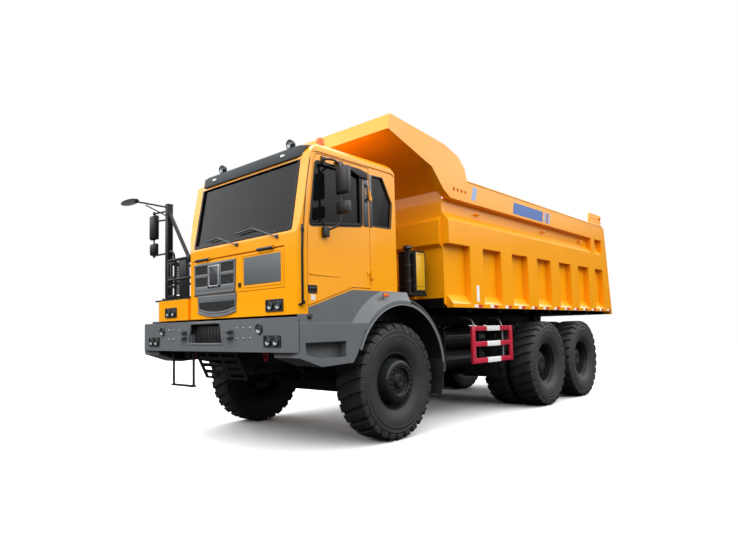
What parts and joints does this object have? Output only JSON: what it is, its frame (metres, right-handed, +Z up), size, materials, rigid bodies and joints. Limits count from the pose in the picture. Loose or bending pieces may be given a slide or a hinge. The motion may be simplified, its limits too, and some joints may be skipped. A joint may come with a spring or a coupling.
{
  "type": "mining dump truck",
  "caption": "Off-highway six-wheel tipper truck with off-centre cab, ribbed rock body with canopy, telescopic hoist, steering, doors, front flap and tailgate.",
  "frame": {"origin": "on the ground at the centre of the whole truck's bounding box", "axes": "+X the truck's left, -Y forward, +Z up"},
  "size_m": [3.76, 9.7608, 4.1499],
  "materials": {
    "anthracite": "dark grey satin enamel",
    "black_plastic": "grained black plastic",
    "cast_grey": "painted castings",
    "chassis_black": "black chassis enamel",
    "guard_red": "red enamel",
    "lamp_glass": "clear lamp lenses",
    "polished_rod": "polished hoist stages",
    "rim_black": "black rim enamel",
    "seat_fabric": "dark woven seat cover",
    "tinted_glass": "dark tinted glass",
    "truck_yellow": "orange-yellow gloss enamel",
    "tyre_rubber": "matte tread rubber"
  },
  "bodies": {
    "root": {"frame_rails": "chassis_black", "front_bumper": "anthracite", "bumper_guard": "anthracite", "entry_step": "chassis_black", "fender_left": "anthracite", "fender_right": "anthracite", "hood_corner": "truck_yellow", "walkway": "chassis_black", "mirror_mast": "chassis_black", "engine": "cast_grey", "driveline": "cast_grey", "front_axle_beam": "cast_grey", "front_springs": "chassis_black", "rear_suspension": "chassis_black", "rear_axles": "cast_grey", "fuel_tank": "chassis_black", "air_tanks": "chassis_black", "side_guards": "guard_red", "air_cleaner": "chassis_black", "rear_lamp_bar": "chassis_black", "cab_shell": "truck_yellow", "cab_glass": "tinted_glass", "sun_visor": "anthracite", "roof_lamps": "lamp_glass", "seats": "seat_fabric", "dashboard": "black_plastic", "front_lamps": "lamp_glass", "grille_lower": "anthracite"},
    "steering_left": {"knuckle_left": "cast_grey"},
    "steering_right": {"knuckle_right": "cast_grey"},
    "tie_rod": {"tie_rod": "chassis_black"},
    "front_wheel_left": {"front_wheel_left": "rim_black", "front_tyre_left": "tyre_rubber"},
    "front_wheel_right": {"front_wheel_right": "rim_black", "front_tyre_right": "tyre_rubber"},
    "door_left": {"door_left": "truck_yellow", "door_glass_left": "tinted_glass", "mirrors_left": "black_plastic"},
    "door_right": {"door_right": "truck_yellow", "door_glass_right": "tinted_glass"},
    "front_flap": {"front_flap": "truck_yellow", "grille_upper": "anthracite"},
    "bed": {"body_floor": "truck_yellow", "body_side_left": "truck_yellow", "body_side_right": "truck_yellow", "body_front_wall": "truck_yellow", "canopy": "truck_yellow"},
    "tailgate": {"tailgate": "truck_yellow"},
    "hoist_barrel": {"hoist_barrel": "chassis_black"},
    "hoist_stage_1": {"hoist_stage_1": "polished_rod"},
    "hoist_stage_2": {"hoist_stage_2": "polished_rod"},
    "hoist_stage_3": {"hoist_stage_3": "polished_rod"},
    "rear_wheels_1_left": {"rear_wheel_1_left": "rim_black", "rear_tyres_1_left": "tyre_rubber"},
    "rear_wheels_1_right": {"rear_wheel_1_right": "rim_black", "rear_tyres_1_right": "tyre_rubber"},
    "rear_wheels_2_left": {"rear_wheel_2_left": "rim_black", "rear_tyres_2_left": "tyre_rubber"},
    "rear_wheels_2_right": {"rear_wheel_2_right": "rim_black", "rear_tyres_2_right": "tyre_rubber"}
  },
  "joints": [
    {"name": "steer_left", "type": "hinge", "parent": "root", "child": "steering_left", "pos_m": [1.06, -2.79153, 0.7465], "axis": [0, 0, 1], "range_deg": [-30, 30]},
    {"name": "steer_right", "type": "hinge", "parent": "root", "child": "steering_right", "pos_m": [-1.06, -2.79153, 0.7465], "axis": [0, 0, 1], "range_deg": [-30, 30]},
    {"name": "tie_rod_pivot", "type": "hinge", "parent": "steering_left", "child": "tie_rod", "pos_m": [1.06, -2.49153, 0.67], "axis": [0, 0, 1], "range_deg": [-30, 30]},
    {"name": "front_wheel_left_spin", "type": "hinge", "parent": "steering_left", "child": "front_wheel_left", "pos_m": [1.374, -2.79153, 0.7465], "axis": [1, 0, 0], "continuous": true},
    {"name": "front_wheel_right_spin", "type": "hinge", "parent": "steering_right", "child": "front_wheel_right", "pos_m": [-1.374, -2.79153, 0.7465], "axis": [1, 0, 0], "continuous": true},
    {"name": "rear_wheels_1_left_spin", "type": "hinge", "parent": "root", "child": "rear_wheels_1_left", "pos_m": [1.352, 1.22847, 0.7465], "axis": [1, 0, 0], "continuous": true},
    {"name": "rear_wheels_1_right_spin", "type": "hinge", "parent": "root", "child": "rear_wheels_1_right", "pos_m": [-1.352, 1.22847, 0.7465], "axis": [1, 0, 0], "continuous": true},
    {"name": "rear_wheels_2_left_spin", "type": "hinge", "parent": "root", "child": "rear_wheels_2_left", "pos_m": [1.352, 2.86847, 0.7465], "axis": [1, 0, 0], "continuous": true},
    {"name": "rear_wheels_2_right_spin", "type": "hinge", "parent": "root", "child": "rear_wheels_2_right", "pos_m": [-1.352, 2.86847, 0.7465], "axis": [1, 0, 0], "continuous": true},
    {"name": "door_left_hinge", "type": "hinge", "parent": "root", "child": "door_left", "pos_m": [1.616, -3.30753, 2.6], "axis": [0, 0, 1], "range_deg": [0, 75]},
    {"name": "door_right_hinge", "type": "hinge", "parent": "root", "child": "door_right", "pos_m": [-0.716, -3.30753, 2.6], "axis": [0, 0, -1], "range_deg": [0, 55]},
    {"name": "front_flap_hinge", "type": "hinge", "parent": "root", "child": "front_flap", "pos_m": [0.374, -4.45553, 2.372], "axis": [-1, 0, 0], "range_deg": [0, 75]},
    {"name": "bed_tilt", "type": "hinge", "parent": "root", "child": "bed", "pos_m": [0, 3.65847, 1.33], "axis": [-1, 0, 0], "range_deg": [0, 45]},
    {"name": "tailgate_hinge", "type": "hinge", "parent": "bed", "child": "tailgate", "pos_m": [0, 4.44847, 3.8], "axis": [1, 0, 0], "range_deg": [0, 60]},
    {"name": "hoist_swing", "type": "hinge", "parent": "root", "child": "hoist_barrel", "pos_m": [0, -2.29153, 0.965], "axis": [-1, 0, 0], "range_deg": [0, 25.77]},
    {"name": "hoist_slide_1", "type": "slide", "parent": "hoist_barrel", "child": "hoist_stage_1", "axis": [0, 0.0218, 0.9998], "range_m": [0, 1.4758]},
    {"name": "hoist_slide_2", "type": "slide", "parent": "hoist_stage_1", "child": "hoist_stage_2", "axis": [0, 0.0218, 0.9998], "range_m": [0, 1.4758]},
    {"name": "hoist_slide_3", "type": "slide", "parent": "hoist_stage_2", "child": "hoist_stage_3", "axis": [0, 0.0218, 0.9998], "range_m": [0, 1.4758]}
  ],
  "couplings": [
    {"joint": "steer_right", "follows": "steer_left", "ratio": 1},
    {"joint": "tie_rod_pivot", "follows": "steer_left", "ratio": -1},
    {"joint": "hoist_swing", "follows": "bed_tilt", "ratio": 0.566},
    {"joint": "hoist_slide_1", "follows": "bed_tilt", "m_per_rad": 1.874},
    {"joint": "hoist_slide_2", "follows": "bed_tilt", "m_per_rad": 1.874},
    {"joint": "hoist_slide_3", "follows": "bed_tilt", "m_per_rad": 1.874}
  ]
}
